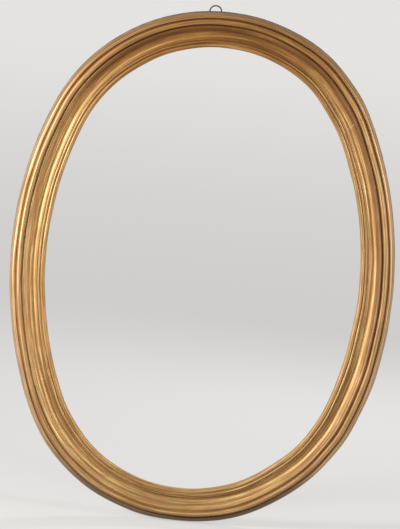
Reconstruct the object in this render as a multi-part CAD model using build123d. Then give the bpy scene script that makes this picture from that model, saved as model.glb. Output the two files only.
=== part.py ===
from build123d import *
from math import asin, atan2, ceil, cos, degrees, hypot, pi, radians, sin, sqrt
import os

# Oval picture frame, in millimetres. A moulded and gilded front of four rails is glued to a
# plain wooden back of four pieces, keyed together at joints midway between the front ones.
# The frame stands upright: +Z is up, the front looks along -Y, and the origin is the centre
# of the oval on the back plane.

# Opening as seen from the front: a four-centred oval. The radius of its ends falls short of half
# the width by so much
sight_width = 646
sight_height = 910
end_radius_shortfall = 33

# Moulding, measured outwards from the sight edge and forwards from the back plane
moulding_width = 74
back_thickness = 20
front_thickness = 24
rebate_width = 8
lip_step = 2

# Front joints, cut by hand, as clock angles from the top seen from the front
joint_angles = {"upper_right": 41, "lower_right": 142, "lower_left": 230, "upper_left": 323}

# Dovetail keys let into the back across its joints
key_length = 44
key_end = 24
key_waist = 13
key_thickness = 9
glue_gap = 0.05

# Iron ring and the strap that holds it, a little left of the top
ring_outer_diameter = 27
ring_wire = 2.9
ring_sides = 6
ring_left = 18
eye_drop = 11
strap_thickness = 1.6
strap_neck = 7
strap_lobe = 12.5
strap_length = 45
strap_fold_length = 17
strap_tip = 5
strap_fillet = 2.5
strap_bend_fillet = 2
play = 0.3

# Forged nails. Those through the strap are given by their distance below the eye
nail_drops = [11, 35]
nail_shank = 2.8
nail_point = 1.2
nail_length = 18
nail_head = 7.2
nail_head_height = 2.2
nail_head_sides = 5
nail_head_inset_share = 0.62

# Turn buttons that hold the picture in the rebate, parked along the rails
button_angles = {"upper_right": 58, "lower_right": 122, "lower_left": 238, "upper_left": 302}
button_from_sight = 20
button_reach = 18.5
button_tail = 12
button_middle = 15
button_end = 10
button_thickness = 5
button_corner = 3
button_chamfer = 0.8
button_play = 0.15

# One overrun serves all cuts
overrun = 5

# Front profile from the sight edge outwards. Each stroke ends at a point given as shares of the
# moulding's width and of the front layer's thickness. A round names a point it passes first,
# and is cut in flats that each turn about so many degrees.
flat_angle = 60
front_profile_shares = [
    ("line", 0.000, 0.360),
    ("round", 0.022, 0.550, 0.084, 0.622),
    ("line", 0.128, 0.475),
    ("round", 0.174, 0.665, 0.222, 0.540),
    ("round", 0.370, 0.285, 0.540, 0.700),
    ("round", 0.596, 0.850, 0.648, 0.670),
    ("round", 0.736, 1.000, 0.820, 0.700),
    ("line", 0.834, 0.410),
    ("line", 0.855, 0.570),
    ("round", 0.930, 0.380, 0.965, 0.060),
    ("line", 0.972, 0.000),
]


# The four arcs of the sight oval: centre, radius, and the stretch that each covers
half_width = sight_width / 2
half_height = sight_height / 2
sight_end_radius = half_width - end_radius_shortfall
end_centre = half_height - sight_end_radius
side_radius = (half_width**2 + end_centre**2 - sight_end_radius**2) / (2 * end_radius_shortfall)
side_centre = side_radius - half_width
spring_angle = degrees(atan2(end_centre, side_centre))
arcs = [
    (0, end_centre, sight_end_radius, spring_angle, 180 - 2 * spring_angle),
    (side_centre, 0, side_radius, 180 - spring_angle, 2 * spring_angle),
    (0, -end_centre, sight_end_radius, 180 + spring_angle, 180 - 2 * spring_angle),
    (-side_centre, 0, side_radius, 360 - spring_angle, 2 * spring_angle),
]
frame_depth = back_thickness + front_thickness
cut_reach = sight_height + 2 * moulding_width

# The eye that the ring turns in, and how far the ring leans forward onto the frame's top edge
ring_radius = (ring_outer_diameter - ring_wire) / 2
ring_rise = ring_radius - sqrt(ring_radius**2 - (strap_neck / 2) ** 2)
eye_bore = ring_wire / 2 + ring_rise + play
top_edge = end_centre + sqrt((sight_end_radius + moulding_width) ** 2 - ring_left**2)
eye_y = eye_bore + strap_thickness
eye_z = top_edge - eye_drop
ring_lean = degrees(atan2(eye_y, eye_drop) - asin((ring_wire / 2 + play) / hypot(eye_y, eye_drop)))


def oval_place(clock, out):
    # Where the ray at this clock angle meets the curve that lies so far outside the sight edge,
    # and the way that the curve faces there, as an angle from +X towards +Z
    across = sin(radians(clock))
    up = cos(radians(clock))
    for centre_x, centre_z, radius, start, stretch in arcs:
        along = across * centre_x + up * centre_z
        reach = along + sqrt((radius + out) ** 2 - centre_x**2 - centre_z**2 + along**2)
        facing = degrees(atan2(up * reach - centre_z, across * reach - centre_x))
        if (facing - start) % 360 <= stretch:
            return across * reach, up * reach, facing


def at_back(x, z, turn, y=0):
    # A plane on the back of the frame that looks backwards, turned so far from +X towards +Z
    return Plane(origin=(x, y, z), x_dir=(cos(radians(turn)), 0, sin(radians(turn))), z_dir=(0, 1, 0))


def profile_point(out, rise):
    return out * moulding_width, back_thickness + rise * front_thickness


def flats(arc):
    # The points after the first where the flats of a round meet
    turn = degrees(arc.length / arc.radius)
    count = ceil(turn / flat_angle)
    return [arc @ (number / count) for number in range(1, count + 1)]


def front_section():
    floor = back_thickness + lip_step
    points = [Vector(0, floor)]
    for kind, *shares in front_profile_shares:
        end = profile_point(*shares[-2:])
        if kind == "round":
            points += flats(ThreePointArc(points[-1], profile_point(*shares[:2]), end))
        else:
            points.append(Vector(*end))
    points += [Vector(rebate_width, back_thickness), Vector(rebate_width, floor)]
    return make_face(Polyline(*points, close=True))


def back_section():
    # The outer side leans in towards the front's shoulder
    shoulder = profile_point(*front_profile_shares[-1][-2:])
    corners = [(moulding_width, 0), (rebate_width, 0), (rebate_width, back_thickness), shoulder]
    return make_face(Polyline(*corners, close=True))


def oval_ring(section):
    # The section turned about the centre of each arc in turn
    ring = Part()
    for centre_x, centre_z, radius, start, stretch in arcs:
        across = (cos(radians(start)), 0, sin(radians(start)))
        normal = (sin(radians(start)), 0, -cos(radians(start)))
        plane = Plane(origin=(centre_x, 0, centre_z), x_dir=across, z_dir=normal)
        axis = Axis((centre_x, 0, centre_z), (0, -1, 0))
        ring += revolve(plane * Pos(radius, 0) * section, axis=axis, revolution_arc=stretch)
    return ring


def wedge(start, end):
    # Everything between two clock angles, seen from the oval's centre
    corners = [(0, 0)]
    for clock in (start, (start + end) / 2, end):
        corners.append((cut_reach * sin(radians(clock)), cut_reach * cos(radians(clock))))
    face = make_face(Polyline(*corners, close=True))
    front = Plane(origin=(0, -frame_depth - overrun, 0), x_dir=(1, 0, 0), z_dir=(0, -1, 0))
    return extrude(front * face, -frame_depth - 2 * overrun)


def back_joint_angles():
    # Midway between the front joints, clockwise from the right
    angles = list(joint_angles.values())
    return [(start + end) / 2 for start, end in zip(angles, angles[1:] + [angles[0] + 360])]


def cut_at_joints(ring, angles):
    # One piece after each joint, clockwise
    return [ring & wedge(start, end) for start, end in zip(angles, angles[1:] + [angles[0] + 360])]


def key(widen=0):
    # Flush with the plane and across the joint, which runs along Y
    tip = key_length / 2 + widen
    end = key_end / 2 + widen
    waist = key_waist / 2 + widen
    plan = Polyline((-tip, -end), (0, -waist), (tip, -end), (tip, end), (0, waist), (-tip, end), close=True)
    return extrude(make_face(plan), -key_thickness - widen)


def key_planes():
    middle = (rebate_width + moulding_width) / 2
    places = [(clock, oval_place(clock % 360, middle)) for clock in back_joint_angles()]
    return [at_back(x, z, -clock) for clock, (x, z, _) in places]


def button_places():
    return {name: oval_place(clock, button_from_sight) for name, clock in button_angles.items()}


def button_nail_planes():
    # On top of each button, which lies clear of the wood and of the nail's head
    seat = play + button_thickness + play
    return [at_back(x, z, facing, seat) for x, z, facing in button_places().values()]


def turn_button():
    # Lies on the plane with its long arm along +X
    sides = [(-button_tail, button_end / 2), (0, button_middle / 2), (button_reach, button_end / 2)]
    corners = sides + [(x, -y) for x, y in reversed(sides)]
    plan = make_face(Polyline(*corners, close=True))
    plan = chamfer(plan.vertices().sort_by(lambda corner: abs(corner.X))[-4:], button_corner)
    body = extrude(plan, button_thickness)
    body = chamfer(body.faces().sort_by(Axis.Z)[-1].edges(), button_chamfer)
    bore = nail_shank / sqrt(2) + button_play
    return body - Cylinder(bore, 2 * button_thickness + overrun)


def tapered(base, height, inset):
    # Its sides draw in by the inset over the height
    return extrude(base, height, taper=degrees(atan2(inset, abs(height))))


def nail_shank_shape(widen=0):
    side = nail_shank + 2 * widen
    return tapered(Rectangle(side, side), -nail_length - widen, (nail_shank - nail_point) / 2)


def nail():
    apothem = nail_head / 2 * cos(pi / nail_head_sides)
    head = tapered(RegularPolygon(nail_head / 2, nail_head_sides), nail_head_height, apothem * nail_head_inset_share)
    return head + nail_shank_shape()


def strap_nail_planes():
    # The first nail goes through the folded strap, the second through its single end
    planes = []
    for drop in nail_drops:
        leaves = 2 if drop < strap_fold_length else 1
        planes.append(at_back(-ring_left, eye_z - drop, 0, leaves * strap_thickness))
    return planes


def strap():
    # Seen from the side it lies on the back, wraps round the ring and folds down on itself
    loop = Pos(eye_y, eye_z) * (Circle(eye_bore + strap_thickness) - Circle(eye_bore))
    lowest = eye_z - strap_length
    leaf = Pos(strap_thickness / 2, (lowest + eye_z) / 2) * Rectangle(strap_thickness, strap_length)
    fold_top = eye_z - eye_bore - strap_thickness / 2
    fold_low = eye_z - strap_fold_length
    fold = Pos(1.5 * strap_thickness, (fold_top + fold_low) / 2) * Rectangle(strap_thickness, fold_top - fold_low)
    side = loop + (leaf - Pos(eye_y, eye_z) * Circle(eye_bore)) + fold
    bend = Vector(2 * strap_thickness, eye_z - eye_bore - strap_thickness, 0)
    side = fillet(side.vertices().sort_by_distance(bend)[0], strap_bend_fillet)
    depth = 2 * (eye_bore + strap_thickness)
    profile = extrude(Plane.YZ.offset(-ring_left) * side, strap_lobe, both=True)
    outline = extrude(at_back(-ring_left, eye_z, 0) * strap_plan(), depth)
    body = profile & outline
    for plane in strap_nail_planes():
        body -= plane * nail_shank_shape(glue_gap)
    return body


def strap_plan():
    # Seen from behind, +Y down: a narrow neck, a lobe at each nail and a blunt point
    top = eye_bore + strap_thickness
    straight = strap_length - strap_tip
    plan = Pos(0, (straight - top) / 2) * Rectangle(strap_neck, straight + top)
    point = Polyline((strap_neck / 2, straight), (0, strap_length), (-strap_neck / 2, straight), close=True)
    plan += make_face(point)
    for drop in nail_drops:
        plan += Pos(0, drop) * Circle(strap_lobe / 2)
    waists = [v for v in plan.vertices() if -top < v.Y < straight and abs(v.X) < strap_lobe / 2]
    return fillet(waists, strap_fillet)


def hanging_ring():
    # Stands up from the eye, leaning forward onto the frame's top edge
    section = Pos(ring_radius, 0) * RegularPolygon(ring_wire / 2, ring_sides)
    ring = revolve(Plane.XZ * section, axis=Axis.Z)
    return Pos(-ring_left, eye_y, eye_z) * Rot(ring_lean, 0, 0) * Pos(0, 0, ring_radius) * Rot(90, 0, 0) * ring


def save(name, shapes):
    solids = [solid for shape in shapes for solid in shape.solids()]
    body = solids[0] if len(solids) == 1 else Compound(children=solids)
    body.label = name
    export_step(body, f"parts/{name}.step")
    print(f"{name:26s} {len(solids):3d} solids {sum(solid.volume for solid in solids):12.1f} mm3")


def main():
    os.makedirs("parts", exist_ok=True)
    nail_holes = [plane * nail_shank_shape(glue_gap) for plane in strap_nail_planes() + button_nail_planes()]
    pockets = [plane * key(glue_gap) for plane in key_planes()]

    front = oval_ring(front_section())
    for name, piece in zip(("right", "bottom", "left", "top"), cut_at_joints(front, list(joint_angles.values()))):
        save("moulding_" + name, [piece])
    back = oval_ring(back_section()) - nail_holes - pockets
    corners = ("lower_right", "lower_left", "upper_left", "upper_right")
    for name, piece in zip(corners, cut_at_joints(back, back_joint_angles())):
        save("back_" + name, [piece])
    save("back_keys", [plane * key() for plane in key_planes()])

    save("hanger_strap", [strap()])
    save("hanging_ring", [hanging_ring()])
    for name, (x, z, facing) in button_places().items():
        save("turn_button_" + name, [at_back(x, z, facing + 90, play) * turn_button()])
    save("forged_nails", [plane * nail() for plane in strap_nail_planes() + button_nail_planes()])
    print(f"ring leans {ring_lean:.2f} degrees forward, eye at y {eye_y:.3f} z {eye_z:.3f}")


main()
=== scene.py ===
from math import atan2, cos, hypot, pi, radians, sin, sqrt
import bmesh
import bpy
from mathutils import Matrix, Vector, noise


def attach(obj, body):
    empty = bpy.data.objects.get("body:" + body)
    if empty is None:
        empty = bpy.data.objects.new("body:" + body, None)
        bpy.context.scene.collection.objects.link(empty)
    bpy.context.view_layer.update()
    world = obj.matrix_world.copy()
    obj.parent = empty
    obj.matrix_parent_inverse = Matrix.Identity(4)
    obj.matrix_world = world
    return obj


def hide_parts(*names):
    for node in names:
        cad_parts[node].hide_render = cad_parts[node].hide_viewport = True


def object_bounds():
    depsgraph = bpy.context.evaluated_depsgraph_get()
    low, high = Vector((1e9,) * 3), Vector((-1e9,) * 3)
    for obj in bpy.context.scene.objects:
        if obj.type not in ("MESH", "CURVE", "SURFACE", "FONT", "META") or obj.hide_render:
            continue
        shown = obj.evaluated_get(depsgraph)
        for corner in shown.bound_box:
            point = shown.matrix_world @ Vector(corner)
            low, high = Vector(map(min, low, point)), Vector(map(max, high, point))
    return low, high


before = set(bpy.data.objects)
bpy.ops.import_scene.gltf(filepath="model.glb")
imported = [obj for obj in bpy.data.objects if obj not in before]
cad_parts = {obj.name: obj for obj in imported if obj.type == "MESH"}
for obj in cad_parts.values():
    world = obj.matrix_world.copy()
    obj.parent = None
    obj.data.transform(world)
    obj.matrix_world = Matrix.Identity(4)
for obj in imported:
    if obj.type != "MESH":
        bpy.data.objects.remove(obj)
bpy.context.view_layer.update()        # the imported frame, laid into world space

mm = 0.001
scene = bpy.context.scene
print("packed frame loaded")


# The oval that every rail follows

oval = {
    "halfWidth": 323 * mm,      # of the opening, at the sight edge
    "halfHeight": 455 * mm,
    "endRadius": 290 * mm,      # of the small arcs at the top and bottom
    "mouldingWidth": 74 * mm,
    "backThickness": 20 * mm,
    "frontThickness": 24 * mm,
    "stepLength": 5 * mm,       # how far one spin step carries the section
}

endCentre = oval["halfHeight"] - oval["endRadius"]
shortfall = oval["halfWidth"] - oval["endRadius"]
sideRadius = (oval["halfWidth"] ** 2 + endCentre ** 2 - oval["endRadius"] ** 2) / (2 * shortfall)
sideCentre = sideRadius - oval["halfWidth"]
springAngle = atan2(endCentre, sideCentre)

# centre, radius, first angle from +X towards +Z, and the angle it stretches over, one after the other
ovalArcs = [
    (Vector((0, 0, endCentre)), oval["endRadius"], springAngle, pi - 2 * springAngle),
    (Vector((sideCentre, 0, 0)), sideRadius, pi - springAngle, 2 * springAngle),
    (Vector((0, 0, -endCentre)), oval["endRadius"], pi + springAngle, pi - 2 * springAngle),
    (Vector((-sideCentre, 0, 0)), sideRadius, 2 * pi - springAngle, 2 * springAngle),
]
arcLengths = [stretch * (radius + oval["mouldingWidth"] / 2) for centre, radius, first, stretch in ovalArcs]


def clockDirections(clock):
    # the way out from the middle of the oval at a clock angle, and the way on, clockwise
    across, up = sin(radians(clock)), cos(radians(clock))
    return Vector((across, 0, up)), Vector((up, 0, -across))


def arcAt(x, z):
    # the arc that a point of the moulding belongs to: its number, the turn along it, and the way it faces
    slack = 0.00001
    for number, (centre, radius, first, stretch) in enumerate(ovalArcs):
        facing = atan2(z - centre.z, x - centre.x)
        turn = (facing - first + slack) % (2 * pi) - slack
        # the centre of each side's arc lies in the opposite rail, so near points aren't that arc's own
        farEnough = hypot(x - centre.x, z - centre.z) > radius / 2
        if turn <= stretch + slack and farEnough:
            return number, turn, facing


def ovalPlace(clock, out):
    # where the ray at this clock angle meets the curve so far outside the sight edge
    across, up = sin(radians(clock)), cos(radians(clock))
    for centre, radius, first, stretch in ovalArcs:
        along = across * centre.x + up * centre.z
        reach = along + sqrt((radius + out) ** 2 - centre.length_squared + along ** 2)
        facing = atan2(up * reach - centre.z, across * reach - centre.x)
        if (facing - first) % (2 * pi) <= stretch:
            return Vector((across * reach, 0, up * reach)), facing


def lengthAlong(x, z):
    # how far round the oval a point lies, measured half way across the moulding
    number, turn = arcAt(x, z)[:2]
    return sum(arcLengths[:number]) + arcLengths[number] * turn / ovalArcs[number][3]


# Drawing, spinning and cutting sections

making = {
    "weld": 0.01 * mm,          # points closer than this become one
    "cutTolerance": 0.001 * mm,
    "cornerSegments": 2,
    "fewestSteps": 3,           # that a round is drawn with
    "sharperThan": radians(35),     # edges that stay sharp in shading
}


def onlyVerts(parts):
    return [part for part in parts if isinstance(part, bmesh.types.BMVert)]


def lineTo(bm, last, point):
    made = bmesh.ops.extrude_vert_indiv(bm, verts=[last])["verts"][0]
    made.co = point
    return made


def roundTo(bm, last, through, point, stepLength):
    # the wire goes on along the circle through three points, as spin steps
    a, b, c = last.co.copy(), through, point
    ab, ac = b - a, c - a
    area = 2 * (ab.x * ac.y - ab.y * ac.x)
    centre = a + Vector((
        ac.y * ab.length_squared - ab.y * ac.length_squared,
        ab.x * ac.length_squared - ac.x * ab.length_squared, 0)) / area
    radius = (a - centre).length
    first = atan2(a.y - centre.y, a.x - centre.x)
    turn = (atan2(c.y - centre.y, c.x - centre.x) - first) % (2 * pi)
    if area < 0:
        turn -= 2 * pi
    steps = max(making["fewestSteps"], round(abs(turn) * radius / stepLength))
    made = bmesh.ops.spin(bm, geom=[last], cent=centre, axis=(0, 0, 1), angle=turn, steps=steps)
    return onlyVerts(made["geom_last"])[0]


def drawOutline(bm, corners):
    # a closed wire through flat corners
    last = first = bm.verts.new((*corners[0], 0))
    for x, y in corners[1:]:
        last = lineTo(bm, last, Vector((x, y, 0)))
    bm.edges.new((last, first))


def roundCorners(bm, offset, sharperThan):
    # every corner of the wire that turns by more than so much gets a small radius
    corners = []
    for v in bm.verts:
        ends = [e.other_vert(v).co - v.co for e in v.link_edges]
        if len(ends) == 2 and pi - ends[0].angle(ends[1]) > sharperThan:
            corners.append(v)
    bmesh.ops.bevel(bm, geom=corners, offset=offset, offset_type="OFFSET", affect="VERTICES",
                    segments=making["cornerSegments"], profile=0.5, material=-1, clamp_overlap=True)


def softenEdges(bm, edges, offset, segments):
    bmesh.ops.bevel(bm, geom=edges, offset=offset, offset_type="OFFSET", affect="EDGES",
                    segments=segments, profile=0.5, material=-1, clamp_overlap=True)


def turnOnto(x, y, z):
    # the turn that lays the three axes along these directions
    return Matrix((x, y, z)).transposed().to_4x4()


def spinRoundOval(wire):
    # the wire is drawn flat, x outwards and y in depth, and carried round each of the four arcs
    ring = bmesh.new()
    for (centre, radius, first, stretch), length in zip(ovalArcs, arcLengths):
        bm = wire.copy()
        outwards, depth = Vector((cos(first), 0, sin(first))), Vector((0, 1, 0))
        stand = turnOnto(outwards, depth, outwards.cross(depth))
        bmesh.ops.transform(bm, matrix=Matrix.Translation(centre + outwards * radius) @ stand, verts=bm.verts)
        bmesh.ops.spin(bm, geom=bm.verts[:] + bm.edges[:], cent=centre, axis=(0, -1, 0), angle=stretch,
                       steps=round(length / oval["stepLength"]))
        stretchMesh = bpy.data.meshes.new("stretch")
        bm.to_mesh(stretchMesh)
        bm.free()
        ring.from_mesh(stretchMesh)
        bpy.data.meshes.remove(stretchMesh)
    wire.free()
    bmesh.ops.remove_doubles(ring, verts=ring.verts, dist=making["weld"])
    bmesh.ops.recalc_face_normals(ring, faces=ring.faces)
    return ring


def cutAcross(bm, clock, inwards, away, clear):
    # cuts a wedge along one end's clock angle, so far inside it, and gives back the cut's edges
    onwards = clockDirections(clock)[1] * inwards
    everything = bm.verts[:] + bm.edges[:] + bm.faces[:]
    cut = bmesh.ops.bisect_plane(bm, geom=everything, dist=making["cutTolerance"], plane_co=onwards * away,
                                 plane_no=onwards, clear_inner=clear)
    return [part for part in cut["geom_cut"] if isinstance(part, bmesh.types.BMEdge)]


def cutWedge(bm, start, end, gap):
    # keeps what lies between two clock angles, seen from the middle of the oval, and closes the ends
    for clock, inwards in ((start, 1), (end, -1)):
        bmesh.ops.holes_fill(bm, edges=cutAcross(bm, clock, inwards, gap / 2, True), sides=0)


# How the hand-cut oval leaves the drawn one

# clock angle, and how far the outer and the sight edge stand out from the drawn oval, in mm
handCut = [
    (0, 1.5, 3.2), (12, 2.6, 3.9), (24, 4.2, 3.1), (36, 0.7, -2.7), (48, -3.3, -2.4), (60, -3.0, -0.3),
    (72, -2.7, 0.0), (84, -1.9, 0.6), (96, -0.6, 1.3), (108, 1.5, 0.3), (120, 3.8, 2.2), (132, 2.2, 2.8),
    (144, -1.6, 0.6), (156, -3.3, -2.2), (168, -1.1, -0.2), (180, -2.1, 1.2), (192, 0.8, 2.5),
    (204, 3.7, 2.4), (216, 4.4, 0.5), (228, 2.0, 0.2), (240, 0.1, -0.6), (252, -1.0, -1.3), (264, -1.1, -0.8),
    (276, -0.9, -0.7), (288, 0.1, -1.0), (300, 0.6, -0.6), (312, -0.1, -0.2), (324, 1.0, 0.4),
    (336, 1.0, -0.3), (348, 1.4, 1.9), (360, 1.5, 3.2),
]

toolMarks = {
    "alongScale": 14,           # of the noise, per metre sideways and in height
    "acrossScale": 60,          # per metre across the moulding
    "flatBelow": 0.2,           # share of the front's thickness: the underside and the lip stay flat
    "depthSeed": Vector((7, 3, 5)),
}


def handCutAt(clock, share):
    # share runs from 0 at the sight edge to 1 at the outer edge
    for (start, outerA, innerA), (end, outerB, innerB) in zip(handCut, handCut[1:]):
        if start <= clock <= end:
            ease = 0.5 - 0.5 * cos(pi * (clock - start) / (end - start))
            outer = outerA + (outerB - outerA) * ease
            inner = innerA + (innerB - innerA) * ease
            return (inner + (outer - inner) * share) * mm


def shapeByHand(bm, unevenness):
    # moves the points in and out with the hand-cut outline, and both ways by the marks of the tools
    for v in bm.verts:
        number, facing = arcAt(v.co.x, v.co.z)[::2]
        centre, radius = ovalArcs[number][:2]
        outwards = Vector((cos(facing), 0, sin(facing)))
        out = hypot(v.co.x - centre.x, v.co.z - centre.z) - radius
        clock = atan2(v.co.x, v.co.z) * 180 / pi % 360
        share = min(1, max(0, out / oval["mouldingWidth"]))
        spot = Vector((v.co.x * toolMarks["alongScale"], out * toolMarks["acrossScale"],
                       v.co.z * toolMarks["alongScale"]))
        v.co += outwards * (handCutAt(clock, share) + unevenness * noise.noise(spot))
        rise = (-v.co.y - oval["backThickness"]) / oval["frontThickness"]
        if rise > toolMarks["flatBelow"]:
            v.co.y += unevenness * (0.5 + 0.5 * noise.noise(spot + toolMarks["depthSeed"])) * rise


def makeObject(bm, name):
    mesh = bpy.data.meshes.new(name)
    bm.to_mesh(mesh)
    bm.free()
    made = bpy.data.objects.new(name, mesh)
    scene.collection.objects.link(made)
    return made


def finishPiece(bm, name, body, replaced, material, sharperThan=making["sharperThan"]):
    for e in bm.edges:
        e.smooth = len(e.link_faces) != 2 or e.calc_face_angle() < sharperThan
    for f in bm.faces:
        f.smooth = True
    piece = makeObject(bm, name)
    piece.data.materials.append(material)
    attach(piece, body)
    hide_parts(*replaced)


# Finishes

def newMaterial(name):
    material = bpy.data.materials.new(name)
    material.use_nodes = True
    material.node_tree.nodes.clear()
    return material, material.node_tree


def addNode(tree, kind, settings=None, inputs=None):
    # inputs are given by socket name or number: an output socket is linked, and a colour gets its alpha
    made = tree.nodes.new(kind)
    for name, value in (settings or {}).items():
        setattr(made, name, value)
    for name, value in (inputs or {}).items():
        if isinstance(value, bpy.types.NodeSocket):
            tree.links.new(value, made.inputs[name])
        elif made.inputs[name].type == "RGBA":
            made.inputs[name].default_value = (*value, 1)
        else:
            made.inputs[name].default_value = value
    return made


def grey(level):
    return (level, level, level)


def ramp(tree, factor, stops):
    made = addNode(tree, "ShaderNodeValToRGB", None, {0: factor})
    marks = made.color_ramp.elements
    while len(marks) < len(stops):
        marks.new(0.5)
    for mark, (position, colour) in zip(marks, stops):
        mark.position = position
        mark.color = (*colour, 1)
    return made.outputs[0]


def softMask(tree, pattern, low, high, most):
    return ramp(tree, pattern, [(low, grey(0)), (high, grey(most))])


def between(tree, value, low, high):
    # rises smoothly from 0 at low to 1 at high
    return addNode(tree, "ShaderNodeMapRange", {"interpolation_type": "SMOOTHSTEP"},
                   {"Value": value, "From Min": low, "From Max": high}).outputs[0]


def mixColour(tree, blend, factor, a, b):
    return addNode(tree, "ShaderNodeMix", {"data_type": "RGBA", "blend_type": blend},
                   {0: factor, 6: a, 7: b}).outputs[2]


def calc(tree, operation, *values):
    return addNode(tree, "ShaderNodeMath", {"operation": operation}, dict(enumerate(values))).outputs[0]


def chain(tree, operation, first, *others):
    # one operation over several values in turn
    for other in others:
        first = calc(tree, operation, first, other)
    return first


def weighted(tree, values, weights):
    # the sum of the values, each times its weight
    return chain(tree, "ADD", *[calc(tree, "MULTIPLY", *pair) for pair in zip(values, weights)])


def attribute(tree, name, output="Fac"):
    return addNode(tree, "ShaderNodeAttribute", {"attribute_name": name}).outputs[output]


def noiseTexture(tree, vector, scale, detail, roughness):
    inputs = {"Vector": vector, "Scale": scale, "Detail": detail, "Roughness": roughness}
    return addNode(tree, "ShaderNodeTexNoise", None, inputs).outputs["Fac"]


def bump(tree, height, strength, distance):
    return addNode(tree, "ShaderNodeBump", None,
                   {"Height": height, "Strength": strength, "Distance": distance}).outputs[0]


def endShader(tree, inputs):
    shader = addNode(tree, "ShaderNodeBsdfPrincipled", None, inputs)
    addNode(tree, "ShaderNodeOutputMaterial", None, {"Surface": shader.outputs[0]})


gilding = {
    "cream": (0.660, 0.470, 0.205),
    "leaf": (0.440, 0.262, 0.088),
    "ochre": (0.270, 0.140, 0.036),
    "olive": (0.190, 0.120, 0.034),
    "salmon": (0.450, 0.225, 0.105),
    "mauve": (0.540, 0.375, 0.250),
    "bole": (0.230, 0.078, 0.028),
    "grimeShadeTone": (0.060, 0.026, 0.012),
    "gesso": (0.660, 0.480, 0.240),
    "bareWood": (0.300, 0.170, 0.090),
    "topShadeTint": (0.800, 0.670, 0.480),        # painted shade that darkens the top rail's leaf
    "shadeUmber": (0.140, 0.056, 0.016),
    # patterns drawn out along the moulding: scale along, scale across, seed, detail, roughness
    "fineStreaks": (22.0, 620.0, 0.0, 1, 0.5),
    "streaks": (10.0, 400.0, 3.0, 2, 0.6),
    "broadRuns": (4.0, 150.0, 7.0, 2, 0.5),
    "oliveRuns": (8.0, 360.0, 13.0, 2, 0.5),
    "salmonRuns": (15.0, 250.0, 19.0, 2, 0.5),
    # patterns without a direction: scale, detail, roughness
    "patches": (9.0, 5, 0.6),
    "specks": (300.0, 2, 0.5),
    # masks: where they start, where they are full, and how much they cover
    "oliveMask": (0.50, 0.60, 0.5),
    "salmonMask": (0.49, 0.60, 0.8),
    "ochreMask": (0.52, 0.66, 0.6),
    "mauveMask": (0.44, 0.56, 0.6),
    "rubbedMask": (0.70, 0.95, 0.7),
    "hollowMask": (0.50, 0.85, 0.6),
    "grimeShadeMask": (0.75, 1.00, 0.6),
    "bandMask": (0.25, 0.52, 1.0),
    "paleSeamMask": (0.30, 0.60, 1.0),
    "darkSeamMask": (0.25, 0.60, 1.0),
    # across the moulding, from 0 at the sight edge to 1 at the outer edge: where it starts, where it is full
    "mauveFrom": (0.82, 0.85),
    "outerEdgeFrom": (0.80, 0.86),
    "coveFrom": (0.22, 0.30),
    "coveUpTo": (0.54, 0.44),
    # the same for height, in metres above the middle
    "shadeHeightFrom": (0.12, 0.42),              # painted shade in the hollows, above and below, so the side rails stay lighter
    "topShadeFrom": (0.26, 0.48),
    # painted shade along the lower outer edge, which faces down
    "lowEdgeShadeFrom": (-0.38, -0.47),
    # the same for the slant from the paler lower left to the darker upper right, which follows the light:
    # painted shade and highlights
    "darkSideHeight": 0.8,                  # how much height counts against sideways
    "darkSideFrom": (-0.45, 0.25),
    # bands of patina and painted shade, and of painted highlights: where across the moulding, half width,
    # strength at lower left and at upper right
    "shadeBands": [
        (0.640, 0.036, 0.05, 0.80), (0.505, 0.050, 0.05, 0.75), (0.570, 0.110, 0.00, 0.75),
        (0.216, 0.014, 0.00, 0.25), (0.128, 0.020, 0.00, 0.55),
    ],
    # painted highlights in cream along the moulding
    "highlightBands": [
        (0.252, 0.026, 0.10, 0.75), (0.765, 0.020, 0.10, 0.60), (0.900, 0.012, 0.30, 0.60),
        (0.955, 0.012, 0.10, 0.40), (0.006, 0.018, 0.50, 0.40),
    ],
    "bandCore": 0.4,                        # share of a band that is at full strength
    "toneWeights": (0.35, 0.50, 0.15, 1.0),     # broad runs, streaks, patches, and each rail's painted light tone
    "toneStops": [(0.41, "ochre"), (0.49, "leaf"), (0.58, "cream")],
    "wearWeights": (0.14, 0.60, 0.50),      # ridge, patches, fine streaks
    "hollowBreakUp": 0.4,                     # by the streaks
    "sideShade": 0.25,                       # share of the painted shade in the hollows that is left at mid-height
    "lowEdgeShadeCover": 0.75,
    "seamEverywhere": 0.10,                 # how much of a joint's colour shows
    "seamInCove": 0.50,                     # how much more of it shows in the cove
    "rubbedDull": 0.7,                      # how much rubbed leaf loses of its metal
    "metallic": 0.80,
    "roughness": 0.48,
    "roughnessSpread": 0.16,
    "varnish": 0.22,                        # thin coat over the leaf
    "varnishRoughness": 0.38,
    "reliefWeights": (0.9, 0.1),            # streaks, specks
    "reliefStrength": 0.3,
    "reliefDepth": 0.10 * mm,
}


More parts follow.
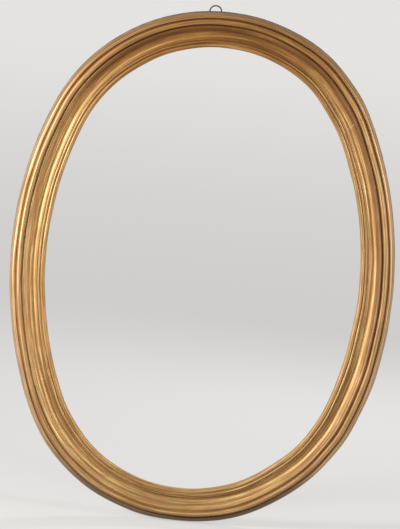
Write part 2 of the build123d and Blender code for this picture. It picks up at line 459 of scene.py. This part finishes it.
def makeGilding():
    material, tree = newMaterial("worn gold leaf on reddish bole")
    along = attribute(tree, "along")
    girth = attribute(tree, "girth")
    across = attribute(tree, "across")
    hollow = attribute(tree, "hollow")
    bare = attribute(tree, "bare")
    seam = attribute(tree, "seam")
    place = addNode(tree, "ShaderNodeTexCoord").outputs["Object"]
    apart = addNode(tree, "ShaderNodeSeparateXYZ", None, {0: place}).outputs
    sideways, height = apart["X"], apart["Z"]

    def runs(name):
        alongScale, girthScale, seed, detail, roughness = gilding[name]
        vector = addNode(tree, "ShaderNodeCombineXYZ", None, {
            0: calc(tree, "MULTIPLY", along, alongScale),
            1: calc(tree, "MULTIPLY", girth, girthScale), 2: seed}).outputs[0]
        return noiseTexture(tree, vector, 1.0, detail, roughness)

    def mask(pattern, name):
        return softMask(tree, pattern, *gilding[name])

    def within(value, name):
        return between(tree, value, *gilding[name])

    def cover(mask, below, colour):
        return mixColour(tree, "MIX", mask, below, gilding[colour])

    fineStreaks, streaks = runs("fineStreaks"), runs("streaks")
    patches = noiseTexture(tree, place, *gilding["patches"])
    specks = noiseTexture(tree, place, *gilding["specks"])

    # the leaf's own tone, with each rail's painted light tone, and its runs of other colours
    tone = weighted(tree, (runs("broadRuns"), streaks, patches, attribute(tree, "railLightTone")),
                    gilding["toneWeights"])
    leaf = ramp(tree, tone, [(position, gilding[colour]) for position, colour in gilding["toneStops"]])
    leaf = cover(mask(runs("oliveRuns"), "oliveMask"), leaf, "olive")
    leaf = cover(mask(runs("salmonRuns"), "salmonMask"), leaf, "salmon")
    leaf = cover(mask(fineStreaks, "ochreMask"), leaf, "ochre")
    outerBand = calc(tree, "MULTIPLY", within(across, "mauveFrom"), mask(streaks, "mauveMask"))
    leaf = cover(outerBand, leaf, "mauve")

    # rubbed down to the bole on the ridges, and bole in the hollows, with painted shade that is deeper on the
    # top and bottom rails
    worn = weighted(tree, (attribute(tree, "ridge"), patches, fineStreaks), gilding["wearWeights"])
    rubbed = mask(worn, "rubbedMask")
    leaf = cover(rubbed, leaf, "bole")
    sunk = calc(tree, "MULTIPLY_ADD", calc(tree, "SUBTRACT", streaks, 0.5), gilding["hollowBreakUp"], hollow)
    upright = within(calc(tree, "ABSOLUTE", height), "shadeHeightFrom")
    shadeByHeight = calc(tree, "MULTIPLY_ADD", upright, 1 - gilding["sideShade"], gilding["sideShade"])
    leaf = cover(calc(tree, "MULTIPLY", mask(sunk, "hollowMask"), shadeByHeight), leaf, "bole")

    # bands of patina and painted shade and of painted highlights along the moulding, and painted shade over
    # the top
    slanting = calc(tree, "MULTIPLY_ADD", height, gilding["darkSideHeight"], sideways)
    darkSide = within(slanting, "darkSideFrom")
    # umber bands are patina and painted shade, cream bands are painted highlights
    for bandList, shade in (("shadeBands", "shadeUmber"), ("highlightBands", "cream")):
        for centre, halfWidth, least, most in gilding[bandList]:
            away = calc(tree, "ABSOLUTE", calc(tree, "SUBTRACT", across, centre))
            inBand = between(tree, away, halfWidth, halfWidth * gilding["bandCore"])
            strength = calc(tree, "MULTIPLY_ADD", darkSide, most - least, least)
            leaf = cover(chain(tree, "MULTIPLY", inBand, mask(patches, "bandMask"), strength), leaf, shade)
    leaf = mixColour(tree, "MULTIPLY", within(height, "topShadeFrom"), leaf, gilding["topShadeTint"])

    # grime and painted shade in the deepest hollows, and painted shade along the lower outer edge
    shadedLowEdge = chain(tree, "MULTIPLY", within(height, "lowEdgeShadeFrom"), within(across, "outerEdgeFrom"),
                    gilding["lowEdgeShadeCover"])
    grimeShadeCover = calc(tree, "MULTIPLY", mask(sunk, "grimeShadeMask"), shadeByHeight)
    grimeShadeCover = calc(tree, "MAXIMUM", grimeShadeCover, shadedLowEdge)
    colour = cover(grimeShadeCover, leaf, "grimeShadeTone")

    # joints, and the wood behind
    inCove = calc(tree, "MULTIPLY", within(across, "coveFrom"), within(across, "coveUpTo"))
    seamShown = calc(tree, "MULTIPLY_ADD", inCove, gilding["seamInCove"], gilding["seamEverywhere"])
    paleSeam = calc(tree, "MULTIPLY", mask(seam, "paleSeamMask"), seamShown)
    darkSeam = calc(tree, "MULTIPLY", mask(calc(tree, "MULTIPLY", seam, -1.0), "darkSeamMask"), seamShown)
    colour = cover(darkSeam, cover(paleSeam, colour, "gesso"), "grimeShadeTone")
    colour = cover(bare, colour, "bareWood")

    covered = chain(tree, "MAXIMUM", grimeShadeCover, calc(tree, "MULTIPLY", rubbed, gilding["rubbedDull"]),
                    bare, paleSeam, darkSeam)
    metal = calc(tree, "MULTIPLY", calc(tree, "SUBTRACT", 1.0, covered), gilding["metallic"])
    relief = weighted(tree, (streaks, specks), gilding["reliefWeights"])
    endShader(tree, {
        "Base Color": colour, "Metallic": metal,
        "Roughness": calc(tree, "MULTIPLY_ADD", patches, gilding["roughnessSpread"], gilding["roughness"]),
        "Coat Weight": gilding["varnish"], "Coat Roughness": gilding["varnishRoughness"],
        "Normal": bump(tree, relief, gilding["reliefStrength"], gilding["reliefDepth"])})
    return material


woods = {
    "back": {"early": (0.400, 0.265, 0.155), "late": (0.170, 0.092, 0.045), "stain": (0.070, 0.040, 0.023),
             "ringScale": 90.0, "roughness": 0.75},
    "key": {"early": (0.330, 0.165, 0.072), "late": (0.200, 0.088, 0.038), "stain": (0.070, 0.034, 0.018),
            "ringScale": 160.0, "roughness": 0.60},
    "button": {"early": (0.170, 0.085, 0.040), "late": (0.080, 0.036, 0.017), "stain": (0.030, 0.015, 0.009),
               "ringScale": 190.0, "roughness": 0.50},
}

figure = {                      # of the grain, the same in every wood
    "ringsDrawnOut": (0.06, 1, 1),      # scale along the grain against across it
    "fibresDrawnOut": (0.03, 1, 1),
    "ringShare": 1 / 3,                 # of ringScale, in the wave texture's own scale
    "ringDistortion": 9.0,
    "ringDetail": 3.0,
    "ringDetailScale": 0.9,
    "drift": (14.0, 3, 0.5),            # scale, detail, roughness
    "fibres": (1400.0, 4, 0.6),
    "stains": (9.0, 5, 0.6),
    "ringMask": (0.25, 0.85, 0.8),      # where it starts, where it is full, how much it covers
    "fibreMask": (0.45, 0.75, 0.6),
    "stainMask": (0.45, 0.75, 0.7),
    "driftStops": [(0.38, grey(0.15)), (0.62, grey(1))],
    "reliefWeights": (0.6, 0.4),        # fibres, rings
    "reliefStrength": 0.5,
    "reliefDepth": 0.25 * mm,
}


def makeWood(name, wood):
    # grain runs along x of the grain attribute
    material, tree = newMaterial(name)
    grain = attribute(tree, "grain", "Vector")

    def drawnOut(name):
        return addNode(tree, "ShaderNodeMapping", None, {"Vector": grain, "Scale": figure[name]}).outputs[0]

    stretched = drawnOut("ringsDrawnOut")
    drift = noiseTexture(tree, stretched, *figure["drift"])
    rings = addNode(tree, "ShaderNodeTexWave", {"bands_direction": "Y"}, {
        "Vector": stretched, "Scale": wood["ringScale"] * figure["ringShare"],
        "Distortion": figure["ringDistortion"], "Detail": figure["ringDetail"],
        "Detail Scale": figure["ringDetailScale"]}).outputs["Fac"]
    fibres = noiseTexture(tree, drawnOut("fibresDrawnOut"), *figure["fibres"])
    stains = noiseTexture(tree, grain, *figure["stains"])
    shown = calc(tree, "MULTIPLY", softMask(tree, rings, *figure["ringMask"]),
                 ramp(tree, drift, figure["driftStops"]))
    colour = mixColour(tree, "MIX", shown, wood["early"], wood["late"])
    colour = mixColour(tree, "MIX", softMask(tree, fibres, *figure["fibreMask"]), colour, wood["late"])
    colour = mixColour(tree, "MIX", softMask(tree, stains, *figure["stainMask"]), colour, wood["stain"])
    relief = weighted(tree, (fibres, rings), figure["reliefWeights"])
    endShader(tree, {"Base Color": colour, "Roughness": wood["roughness"],
                     "Normal": bump(tree, relief, figure["reliefStrength"], figure["reliefDepth"])})
    return material


forgedIron = {
    "dark": (0.030, 0.026, 0.024),
    "worn": (0.140, 0.125, 0.115),
    "rust": (0.110, 0.040, 0.016),
    "hammered": (320.0, 3, 0.5),        # scale, detail, roughness
    "rusty": (150.0, 6, 0.7),
    "wornMask": (0.40, 0.75, 1.0),      # where it starts, where it is full, how much it covers
    "rustMask": (0.50, 0.66, 1.0),
    "rustCover": 0.8,
    "metallic": 0.7,
    "roughness": 0.55,
    "rustRoughness": 0.3,               # how much rougher rust is
    "reliefWeights": (1.0, 0.5),        # hammered, rusty
    "reliefStrength": 0.6,
    "reliefDepth": 0.3 * mm,
}


def makeIron():
    material, tree = newMaterial("forged iron with light rust")
    place = addNode(tree, "ShaderNodeTexCoord").outputs["Object"]
    hammered = noiseTexture(tree, place, *forgedIron["hammered"])
    rusty = noiseTexture(tree, place, *forgedIron["rusty"])
    wornMask = softMask(tree, hammered, *forgedIron["wornMask"])
    rust = softMask(tree, rusty, *forgedIron["rustMask"])
    colour = mixColour(tree, "MIX", wornMask, forgedIron["dark"], forgedIron["worn"])
    rustCover = calc(tree, "MULTIPLY", rust, forgedIron["rustCover"])
    colour = mixColour(tree, "MIX", rustCover, colour, forgedIron["rust"])
    relief = weighted(tree, (hammered, rusty), forgedIron["reliefWeights"])
    endShader(tree, {
        "Base Color": colour,
        "Metallic": calc(tree, "MULTIPLY", calc(tree, "SUBTRACT", 1.0, rust), forgedIron["metallic"]),
        "Roughness": calc(tree, "MULTIPLY_ADD", rust, forgedIron["rustRoughness"], forgedIron["roughness"]),
        "Normal": bump(tree, relief, forgedIron["reliefStrength"], forgedIron["reliefDepth"])})
    return material


goldLeaf = makeGilding()
backWood = makeWood("aged softwood", woods["back"])
keyWood = makeWood("hardwood of the keys", woods["key"])
buttonWood = makeWood("worn hardwood of the buttons", woods["button"])
iron = makeIron()
print("finishes mixed")


# Gilded front rails

rails = {
    "joints": {"right": (41, 142), "bottom": (142, 230), "left": (230, 323), "top": (323, 401)},
    "gap": 0.15 * mm,
    "rebateWidth": 8 * mm,
    "lipStep": 2 * mm,
    "lipMargin": 0.1 * mm,      # what stands further forward than this from the lip is gilded
    "roundStep": 1.1 * mm,      # length of one flat in the rounds
    "arris": 0.22 * mm,         # small radius on every corner
    "arrisFrom": radians(28),
    "sharperThan": radians(60),
    "unevenness": 0.5 * mm,
    "hollowReach": 4 * mm,      # bole, grime and painted shade go where the surface lies below its surroundings
    "ridgeHeight": 1.5 * mm,    # what stands this far above its surroundings is a full ridge
    "seamReach": 1.6 * mm,      # how far a joint shows in the leaf on each side
    "seamFade": 0.9,            # share of that reach beyond which it shows no more
    "seams": {41: 1.0, 142: -0.35, 230: 0.5, 323: 0.55, 401: 1.0},     # toned gesso, or dark where below 0
    # how far each rail has sunk, counted at one front thickness in front of the lip
    "settled": {"right": 0.10 * mm, "bottom": 0.25 * mm, "left": 0.05 * mm, "top": 0.30 * mm},
    "railLightTone": {"right": -0.010, "bottom": -0.010, "left": 0.012, "top": -0.020},      # paler above 0: painted light, the lit left rail paler and the top darker
    "profile": [                # strokes from the sight edge outwards, as shares of width and thickness
        ("line", 0.000, 0.360),
        ("round", 0.022, 0.540, 0.080, 0.622),
        ("round", 0.104, 0.610, 0.117, 0.565),
        ("line", 0.123, 0.550),
        ("line", 0.134, 0.550),
        ("line", 0.141, 0.590),
        ("round", 0.173, 0.680, 0.205, 0.600),
        ("line", 0.212, 0.555),
        ("line", 0.221, 0.555),
        ("line", 0.227, 0.600),
        ("line", 0.236, 0.585),
        ("round", 0.264, 0.371, 0.331, 0.285),
        ("round", 0.400, 0.372, 0.465, 0.550),
        ("round", 0.498, 0.650, 0.530, 0.700),
        ("line", 0.545, 0.715),
        ("line", 0.557, 0.745),
        ("round", 0.585, 0.785, 0.617, 0.760),
        ("line", 0.624, 0.720),
        ("line", 0.632, 0.720),
        ("line", 0.640, 0.765),
        ("round", 0.716, 1.000, 0.792, 0.770),
        ("line", 0.810, 0.500),
        ("line", 0.820, 0.475),
        ("line", 0.832, 0.550),
        ("round", 0.852, 0.588, 0.872, 0.550),
        ("line", 0.880, 0.490),
        ("round", 0.900, 0.470, 0.914, 0.415),
        ("line", 0.920, 0.360),
        ("round", 0.944, 0.260, 0.961, 0.100),
        ("line", 0.968, 0.080),
        ("line", 0.972, 0.000),
    ],
}
lip = -oval["backThickness"] - rails["lipStep"]      # depth of the lip's underside


def profilePoint(out, rise):
    return Vector((out * oval["mouldingWidth"], -oval["backThickness"] - rise * oval["frontThickness"], 0))


def drawMoulding(bm):
    last = first = bm.verts.new((0, lip, 0))
    for kind, *shares in rails["profile"]:
        end = profilePoint(*shares[-2:])
        if kind == "round":
            last = roundTo(bm, last, profilePoint(*shares[:2]), end, rails["roundStep"])
        else:
            last = lineTo(bm, last, end)
    last = lineTo(bm, last, Vector((rails["rebateWidth"], -oval["backThickness"], 0)))
    last = lineTo(bm, last, Vector((rails["rebateWidth"], lip, 0)))
    bm.edges.new((last, first))
    roundCorners(bm, rails["arris"], rails["arrisFrom"])


def markMoulding(bm):
    # what the finish needs to know of each place, set on the section before it is spun
    girth = bm.verts.layers.float.new("girth")
    across = bm.verts.layers.float.new("across")
    hollow = bm.verts.layers.float.new("hollow")
    ridge = bm.verts.layers.float.new("ridge")
    bare = bm.verts.layers.float.new("bare")
    sightCorner = profilePoint(*rails["profile"][0][1:])
    v, before, passed = min(bm.verts, key=lambda v: (v.co - sightCorner).length), None, 0
    for n in range(len(bm.verts)):      # walks round the wire
        v[girth] = passed
        ahead = [e.other_vert(v) for e in v.link_edges if e.other_vert(v) is not before]
        ahead = ahead[0] if before or ahead[0].co.y < v.co.y else ahead[1]
        passed += (ahead.co - v.co).length
        before, v = v, ahead
    frontSide = [v for v in bm.verts if v.co.y < lip - rails["lipMargin"]]
    for v in bm.verts:
        v[across] = v.co.x / oval["mouldingWidth"]
        v[bare] = 0 if v in frontSide else 1
        near = [n.co - v.co for n in frontSide if n is not v and abs(n.co.x - v.co.x) < rails["hollowReach"]]
        # hollow: how much of the open sky the walls on either side hide, made into bole, grime and painted
        # shade
        if near and v in frontSide:
            walls = [max([0] + [atan2(-n.y, abs(n.x)) for n in near if n.x * side > 0]) for side in (1, -1)]
            v[hollow] = sum(walls) / pi
            v[ridge] = max(0, sum(n.y for n in near) / len(near)) / rails["ridgeHeight"]


def markRail(bm, side, start, end):
    # what the finish needs to know along one rail, and how far the rail has sunk
    along = bm.verts.layers.float.new("along")
    seam = bm.verts.layers.float.new("seam")
    lightToneLayer = bm.verts.layers.float.new("railLightTone")
    for v in bm.verts:
        run = lengthAlong(v.co.x, v.co.z)
        if side == "right" and run < sum(arcLengths) / 2:      # here the length starts again within the rail
            run += sum(arcLengths)
        v[along] = run
        # each rail's tone is painted light: paler on the left, darker on the top
        v[lightToneLayer] = rails["railLightTone"][side]
        for clock in (start, end):
            outwards, onwards = clockDirections(clock)
            away = abs(v.co.dot(onwards))
            if away < rails["seamReach"] * rails["seamFade"] and v.co.dot(outwards) > 0:
                v[seam] = rails["seams"][clock] * (1 - away / rails["seamReach"])
        v.co.y += rails["settled"][side] * max(0, (lip - v.co.y) / oval["frontThickness"])


section = bmesh.new()
drawMoulding(section)
markMoulding(section)
print("moulding section has", len(section.verts), "points")
section = spinRoundOval(section)
shapeByHand(section, rails["unevenness"])
print("front ring spun", len(section.faces))

for side, (start, end) in rails["joints"].items():
    bm = section.copy()
    cutWedge(bm, start, end, rails["gap"])
    cutAcross(bm, start, 1, rails["seamReach"], False)
    cutAcross(bm, end, -1, rails["seamReach"], False)
    markRail(bm, side, start, end)
    finishPiece(bm, "gilded_rail_" + side, "frame", ["moulding_" + side], goldLeaf,
                rails["sharperThan"])
section.free()
print("gilded rails done")


# Plain back pieces with their dovetail keys

backs = {
    "joints": {"lower_right": (91.5, 186), "lower_left": (186, 276.5), "upper_left": (276.5, 362),
               "upper_right": (2, 91.5)},
    "shoulder": 0.972,          # share of the width where the back meets the front
    "arris": 0.7 * mm,
    "arrisFrom": radians(28),
    "sharperThan": radians(60),
    "longEdge": 15 * mm,        # edges of the section longer than this are divided
    "cuts": 5,
    "gap": 0.2 * mm,
    "grainFrom": 0,             # number of the first board's part of the grain
}

keys = {
    "clocks": [start for start, end in backs["joints"].values()],
    "length": 44 * mm,
    "end": 24 * mm,
    "waist": 13 * mm,
    "thickness": 9 * mm,
    "proud": 0.15 * mm,
    "arris": 0.3 * mm,
    "arrisSegments": 2,
    "pocketPlay": 0.12 * mm,
    "cutterProud": 5 * mm,      # so that the pockets are open at the back
    "grainFrom": 5,
}
grainShift = Vector((0.31, 0.17, 0.23))      # from one board to the next, so that no two look alike


def drawBack(bm):
    width, front = oval["mouldingWidth"], -oval["backThickness"]
    drawOutline(bm, [(width, 0), (rails["rebateWidth"], 0), (rails["rebateWidth"], front),
                     (backs["shoulder"] * width, front)])
    roundCorners(bm, backs["arris"], backs["arrisFrom"])
    longEdges = [e for e in bm.edges if e.calc_length() > backs["longEdge"]]
    bmesh.ops.subdivide_edges(bm, edges=longEdges, cuts=backs["cuts"])


def addKey(bm, clock, widen, proud):
    # a flat butterfly, extruded into the wood
    tip, end, waist = (keys[size] / 2 + widen for size in ("length", "end", "waist"))
    outwards, across = clockDirections(clock)
    place = ovalPlace(clock, (rails["rebateWidth"] + oval["mouldingWidth"]) / 2)[0]
    place += outwards * handCutAt(clock, 0.5)
    plan = [(-tip, -end), (0, -waist), (tip, -end), (tip, end), (0, waist), (-tip, end)]
    corners = [bm.verts.new(place + across * x + outwards * y + Vector((0, proud, 0))) for x, y in plan]
    made = bmesh.ops.extrude_face_region(bm, geom=[bm.faces.new(corners)])
    deep = onlyVerts(made["geom"])
    bmesh.ops.translate(bm, vec=(0, -keys["thickness"] - widen - proud, 0), verts=deep)
    return corners + deep, place, across


def setGrain(bm, verts, middle, alongGrain, number):
    # coordinates in the board: x along its grain, and a different part of the pattern for each board
    grain = bm.verts.layers.float_vector.get("grain") or bm.verts.layers.float_vector.new("grain")
    acrossGrain = Vector((-alongGrain.z, 0, alongGrain.x))
    for v in verts:
        local = v.co - middle
        v[grain] = Vector((local.dot(alongGrain), local.dot(acrossGrain), local.y)) + grainShift * number


cutters = bmesh.new()
for clock in keys["clocks"]:
    addKey(cutters, clock, keys["pocketPlay"], keys["cutterProud"])
bmesh.ops.recalc_face_normals(cutters, faces=cutters.faces)
cutterObject = makeObject(cutters, "key pockets")

section = bmesh.new()
drawBack(section)
section = spinRoundOval(section)
shapeByHand(section, 0.0)
for number, (corner, (start, end)) in enumerate(backs["joints"].items(), backs["grainFrom"]):
    bm = section.copy()
    cutWedge(bm, start, end, backs["gap"])
    roughObject = makeObject(bm, "rough back")
    pockets = roughObject.modifiers.new("pockets", "BOOLEAN")
    pockets.operation = "DIFFERENCE"
    pockets.solver = "EXACT"
    pockets.object = cutterObject
    bpy.context.view_layer.update()
    cut = bpy.data.meshes.new_from_object(roughObject.evaluated_get(bpy.context.evaluated_depsgraph_get()))
    bpy.data.objects.remove(roughObject)
    bm = bmesh.new()
    bm.from_mesh(cut)
    ends = [ovalPlace(clock % 360, oval["mouldingWidth"] / 2)[0] for clock in (start, end)]
    setGrain(bm, bm.verts, (ends[0] + ends[1]) / 2, (ends[1] - ends[0]).normalized(), number)
    finishPiece(bm, "back_board_" + corner, "frame", ["back_" + corner], backWood,
                backs["sharperThan"])
section.free()
bpy.data.objects.remove(cutterObject)
print("back boards done")

bm = bmesh.new()
bm.verts.layers.float_vector.new("grain")
for number, clock in enumerate(keys["clocks"], keys["grainFrom"]):
    verts, place, across = addKey(bm, clock, 0, keys["proud"])
    setGrain(bm, verts, place, across, number)
bmesh.ops.recalc_face_normals(bm, faces=bm.faces)
softenEdges(bm, bm.edges[:], keys["arris"], keys["arrisSegments"])
finishPiece(bm, "dovetail_keys", "frame", ["back_keys"], keyWood)
print("keys done")


# Turn buttons that hold the picture

buttons = {
    "clocks": {"upper_right": 58, "lower_right": 122, "lower_left": 238, "upper_left": 302},
    "fromSight": 20 * mm,       # how far outside the sight edge the nail stands
    "reach": 18.5 * mm,         # long arm, from the nail
    "tail": 12 * mm,
    "middle": 15 * mm,
    "end": 10 * mm,
    "corner": 3 * mm,
    "cornerFrom": radians(45),
    "play": 0.3 * mm,           # between a button and the back boards
    "thickness": 5 * mm,
    "bore": 2.15 * mm,          # radius of the nail's hole
    "softened": 0.8 * mm,
    "softenedSegments": 3,
    "softenedFrom": radians(60),
    "grainFrom": 11,
}


def drawButton(bm):
    # its outline with the nail's hole, lying flat with the long arm along x
    end, middle = buttons["end"] / 2, buttons["middle"] / 2
    drawOutline(bm, [(0, -middle), (buttons["reach"], -end), (buttons["reach"], end), (0, middle),
                     (-buttons["tail"], end), (-buttons["tail"], -end)])
    roundCorners(bm, buttons["corner"], buttons["cornerFrom"])
    bmesh.ops.create_circle(bm, segments=len(bm.verts), radius=buttons["bore"])
    bmesh.ops.bridge_loops(bm, edges=bm.edges[:])
    made = bmesh.ops.extrude_face_region(bm, geom=bm.faces[:])
    bmesh.ops.translate(bm, vec=(0, 0, buttons["thickness"]), verts=onlyVerts(made["geom"]))
    bmesh.ops.recalc_face_normals(bm, faces=bm.faces)
    rim = [e for e in bm.edges if e.calc_face_angle() > buttons["softenedFrom"]
           and e.verts[0].co.to_2d().length > 2 * buttons["bore"]
           and min(v.co.z for v in e.verts) > buttons["thickness"] / 2]
    softenEdges(bm, rim, buttons["softened"], buttons["softenedSegments"])


for number, (corner, clock) in enumerate(buttons["clocks"].items(), buttons["grainFrom"]):
    bm = bmesh.new()
    drawButton(bm)
    place, facing = ovalPlace(clock, buttons["fromSight"])
    along, depth = Vector((-sin(facing), 0, cos(facing))), Vector((0, 1, 0))
    lay = turnOnto(along, depth.cross(along), depth)
    bmesh.ops.transform(bm, matrix=Matrix.Translation(place + depth * buttons["play"]) @ lay, verts=bm.verts)
    setGrain(bm, bm.verts, place, along, number)
    finishPiece(bm, "turn_button_wood_" + corner, "turn_button_" + corner,
                ["turn_button_" + corner], buttonWood)
print("turn buttons done")


# Hanging ring

hanger = {
    "outerDiameter": 26.8 * mm,
    "wire": 2.9 * mm,
    "wireSides": 14,
    "steps": 72,
    "left": 18 * mm,            # of the middle of the frame
    "eyeDepth": 3.869 * mm,     # of the hinge, behind the back
    "eyeHeight": 517.555 * mm,
    "lean": radians(10.75),     # forwards, until it rests on the top edge
    "unevenness": 0.08 * mm,
    "hammerScale": 260,         # of the unevenness, per metre
}

bm = bmesh.new()
ringRadius = (hanger["outerDiameter"] - hanger["wire"]) / 2
bmesh.ops.create_circle(bm, segments=hanger["wireSides"], radius=hanger["wire"] / 2, cap_ends=False)
bmesh.ops.translate(bm, vec=(ringRadius, 0, 0), verts=bm.verts)
bmesh.ops.spin(bm, geom=bm.verts[:] + bm.edges[:], cent=(0, 0, 0), axis=(0, 1, 0), angle=2 * pi,
               steps=hanger["steps"], use_merge=True)
bmesh.ops.recalc_face_normals(bm, faces=bm.faces)
for v in bm.verts:
    v.co += v.co.normalized() * hanger["unevenness"] * noise.noise(v.co * hanger["hammerScale"])
bmesh.ops.translate(bm, vec=(0, 0, ringRadius), verts=bm.verts)
bmesh.ops.rotate(bm, cent=(0, 0, 0), matrix=Matrix.Rotation(hanger["lean"], 3, "X"), verts=bm.verts)
bmesh.ops.translate(bm, vec=(-hanger["left"], hanger["eyeDepth"], hanger["eyeHeight"]), verts=bm.verts)
finishPiece(bm, "iron_ring", "hanging_ring", ["hanging_ring"], iron)
print("ring done")


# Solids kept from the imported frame, with their finish

for nodeName in ("hanger_strap", "forged_nails"):
    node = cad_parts[nodeName]
    node.data.materials.clear()
    node.data.materials.append(iron)
print("packed solids dressed")


# Floor, light and camera

stage = {
    "backdrop": (0.78, 0.77, 0.755),
    "floorBelow": 0.3 * mm,
    "floorSize": 60.0,
    "fadeFrom": 0.0,            # metres from the floor's middle, where it fades into the backdrop
    "fadeTo": 16.0,
    "fill": 0.16,               # how strongly the surroundings light the frame
    "floorBounce": 0.35,        # how pale the floor is for the light that it throws back
    "floorGlow": 0.72,
    "lampSize": 0.6,
    "lamps": [                  # place, watts, and whether it shows in the leaf
        ((-1.85, -1.30, 0.42), 66.0, True),
        ((1.85, -1.30, 0.50), 26.0, True),
        ((0.70, 2.20, 1.30), 38.0, False),      # behind, so that the back is lit as well
    ],
}


def seenDirectly(tree):
    rays = addNode(tree, "ShaderNodeLightPath").outputs
    return chain(tree, "MAXIMUM", rays["Is Camera Ray"], rays["Is Glossy Ray"], rays["Is Transmission Ray"])


def makeFloor():
    material, tree = newMaterial("pale floor")
    place = addNode(tree, "ShaderNodeTexCoord").outputs["Object"]
    distance = addNode(tree, "ShaderNodeVectorMath", {"operation": "LENGTH"}, {0: place}).outputs["Value"]
    fade = between(tree, distance, stage["fadeFrom"], stage["fadeTo"])
    seen = seenDirectly(tree)
    colour = mixColour(tree, "MIX", seen, grey(stage["floorBounce"]), stage["backdrop"])
    plain = addNode(tree, "ShaderNodeBsdfDiffuse", None, {"Color": colour}).outputs[0]
    far = addNode(tree, "ShaderNodeEmission", None, {"Color": stage["backdrop"], "Strength": 1.0}).outputs[0]
    glow = calc(tree, "MULTIPLY_ADD", fade, 1 - stage["floorGlow"], stage["floorGlow"])
    shown = addNode(tree, "ShaderNodeMixShader", None,
                    {0: calc(tree, "MULTIPLY", glow, seen), 1: plain, 2: far}).outputs[0]
    addNode(tree, "ShaderNodeOutputMaterial", None, {"Surface": shown})
    return material


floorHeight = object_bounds()[0][2] - stage["floorBelow"]
bm = bmesh.new()
bmesh.ops.create_grid(bm, x_segments=2, y_segments=2, size=stage["floorSize"] / 2)
floor = makeObject(bm, "floor")
floor.data.materials.append(makeFloor())
floor.location.z = floorHeight

world = bpy.data.worlds.new("studio")
world.use_nodes = True
tree = world.node_tree
tree.nodes.clear()
strength = calc(tree, "MAXIMUM", seenDirectly(tree), stage["fill"])
background = addNode(tree, "ShaderNodeBackground", None, {"Color": stage["backdrop"], "Strength": strength})
addNode(tree, "ShaderNodeOutputWorld", None, {"Surface": background.outputs[0]})
scene.world = world

for place, watts, shows in stage["lamps"]:
    lamp = bpy.data.lights.new("soft lamp", "AREA")
    lamp.shape = "DISK"
    lamp.size = stage["lampSize"]
    lamp.energy = watts
    holder = bpy.data.objects.new("soft lamp", lamp)
    holder.visible_glossy = shows
    turn = Vector(place).to_track_quat("Z", "Y").to_matrix().to_4x4()
    holder.matrix_world = Matrix.Translation(place) @ turn
    scene.collection.objects.link(holder)

view = {
    "distance": 9.0,
    "elevation": 6.5,
    "roll": 4.95,                       # the frame hangs turned clockwise by this much
    "visibleHeight": 1089.211 * mm,     # of the picture, where the frame stands
    "shiftRight": 4.8457 * mm,          # of the frame's origin from the middle of the picture
    "shiftDown": 7.87684 * mm,
    "sensor": 36.0,
}

elevation, roll = radians(view["elevation"]), radians(view["roll"])
backwards = Vector((0, -cos(elevation), sin(elevation)))
level = Vector((1, 0, 0))
upright = Vector((0, sin(elevation), cos(elevation)))
right = level * cos(roll) + upright * sin(roll)
up = upright * cos(roll) - level * sin(roll)
aim = up * view["shiftDown"] - right * view["shiftRight"]
lens = bpy.data.cameras.new("camera")
lens.sensor_width = view["sensor"]
lens.lens = view["sensor"] * view["distance"] / view["visibleHeight"]
camera = bpy.data.objects.new("camera", lens)
turn = turnOnto(right, up, backwards)
camera.matrix_world = Matrix.Translation(aim + backwards * view["distance"]) @ turn
scene.collection.objects.link(camera)
scene.camera = camera
scene.view_settings.view_transform = "Standard"
print("stage set")

bpy.context.view_layer.update()
